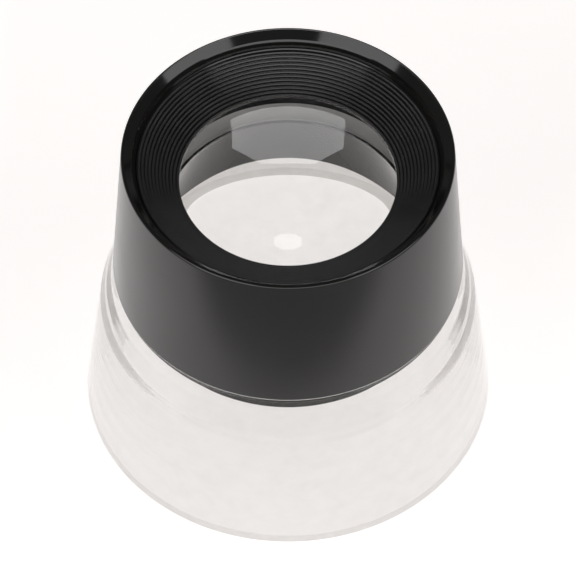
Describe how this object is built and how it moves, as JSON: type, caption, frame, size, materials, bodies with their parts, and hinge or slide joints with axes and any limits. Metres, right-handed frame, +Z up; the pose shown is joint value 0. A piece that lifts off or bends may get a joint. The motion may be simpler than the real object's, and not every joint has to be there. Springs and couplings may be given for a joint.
{
  "type": "stand loupe",
  "caption": "Stand loupe: black tapered eyepiece barrel with a stepped funnel over a thick lens, screwed on a hollow clear conical skirt.",
  "frame": {"origin": "centre of the skirt's resting plane", "axes": "+Z up along the optical axis, towards the eye; every piece is round about it"},
  "size_m": [0.05, 0.05, 0.0441],
  "materials": {
    "clear_acrylic": "polished clear acrylic",
    "black_plastic": "satin moulded",
    "gloss_black": "glossy moulded",
    "lens_acrylic": "polished clear acrylic"
  },
  "bodies": {
    "stand": {"skirt": "clear_acrylic"},
    "optics": {"lens_tube": "gloss_black", "lens": "lens_acrylic", "retaining_ring": "gloss_black"},
    "focus_barrel": {"barrel": "black_plastic", "eyepiece_ring": "black_plastic"}
  },
  "joints": [
    {"name": "focus_lift", "type": "slide", "parent": "stand", "child": "optics", "axis": [0, 0, 1], "range_m": [0, 0.003]},
    {"name": "focus_turn", "type": "hinge", "parent": "optics", "child": "focus_barrel", "pos_m": [0, 0, 0.03], "axis": [0, 0, 1], "range_deg": [0, 270]}
  ],
  "couplings": [
    {"joint": "focus_turn", "follows": "focus_lift", "rad_per_m": 1570.8}
  ]
}
